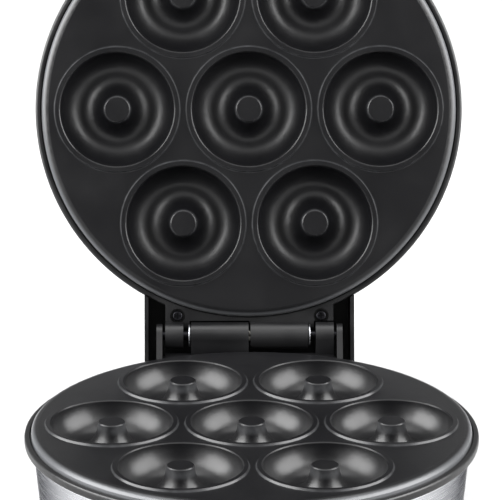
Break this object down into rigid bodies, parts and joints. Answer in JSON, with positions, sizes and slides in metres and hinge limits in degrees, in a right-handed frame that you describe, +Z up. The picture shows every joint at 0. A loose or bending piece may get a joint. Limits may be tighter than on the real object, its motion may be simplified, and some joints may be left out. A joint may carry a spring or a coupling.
{
  "type": "ring doughnut maker",
  "caption": "Electric countertop ring-doughnut maker, open: round steel base and domed lid on a rear hinge, with dark non-stick ring moulds, black rims, front handles and a latch.",
  "frame": {"origin": "centre of the round base, on the surface that the feet stand on", "axes": "+Z up, +Y from the front handle towards the hinge at the rear, +X to the right as seen from the front"},
  "size_m": [0.2208, 0.3822, 0.3079],
  "materials": {
    "stainless_steel": "bright satin stainless sheet",
    "black_plastic": "fine satin heat-resistant moulding",
    "nonstick_casting": "cast aluminium under a dark non-stick coating, soft sheen",
    "element_sheath": "heat-dulled steel tube",
    "spring_steel": "plain spring steel",
    "aluminised_steel": "dull aluminised sheet",
    "zinc_steel": "bright zinc plate",
    "blackened_steel": "black oxide",
    "ceramic": "unglazed steatite",
    "black_rubber": "matt",
    "wire_insulation": "braided glass-silicone sleeving",
    "red_lens": "clear red",
    "green_lens": "clear green",
    "lamp_glass": "clear neon lamp"
  },
  "bodies": {
    "base": {"lower_plate": "nonstick_casting", "lower_heater": "element_sheath", "lower_heater_terminals": "ceramic", "lower_heater_clips": "spring_steel", "lower_heater_clip_screws": "zinc_steel", "lower_heat_shield": "aluminised_steel", "lower_heat_shield_screws": "zinc_steel", "lower_plate_screws": "zinc_steel", "lower_handle_screws": "zinc_steel", "base_shell": "stainless_steel", "bottom_cover": "black_plastic", "bottom_cover_screws": "zinc_steel", "rubber_feet": "black_rubber", "base_frame": "black_plastic", "hinge_pin_left": "blackened_steel", "hinge_pin_right": "blackened_steel", "hinge_wires": "wire_insulation", "thermal_fuse": "ceramic", "fuse_screws": "zinc_steel", "terminal_block": "ceramic", "base_wiring": "wire_insulation", "cord_gland": "black_plastic", "lower_handle": "black_plastic", "latch_pin": "blackened_steel"},
    "lid": {"upper_plate": "nonstick_casting", "upper_heater": "element_sheath", "upper_heater_terminals": "ceramic", "upper_heater_clips": "spring_steel", "upper_heater_clip_screws": "zinc_steel", "upper_heat_shield": "aluminised_steel", "upper_heat_shield_screws": "zinc_steel", "upper_plate_screws": "zinc_steel", "upper_handle_screws": "zinc_steel", "lid_shell": "stainless_steel", "lid_frame": "black_plastic", "lid_frame_screws": "zinc_steel", "hinge_hood": "black_plastic", "hood_screws": "blackened_steel", "thermostat": "ceramic", "thermostat_screws": "zinc_steel", "lid_wiring": "wire_insulation", "upper_handle": "black_plastic", "power_lens": "red_lens", "ready_lens": "green_lens", "indicator_lamps": "lamp_glass"},
    "latch": {"latch": "black_plastic"}
  },
  "joints": [
    {"name": "lid_hinge", "type": "hinge", "parent": "base", "child": "lid", "pos_m": [0, 0.117, 0.0555], "axis": [1, 0, 0], "range_deg": [0, 106.5]},
    {"name": "latch_pivot", "type": "hinge", "parent": "base", "child": "latch", "pos_m": [0, -0.1435, 0.0385], "axis": [-1, 0, 0], "range_deg": [0, 140]}
  ]
}
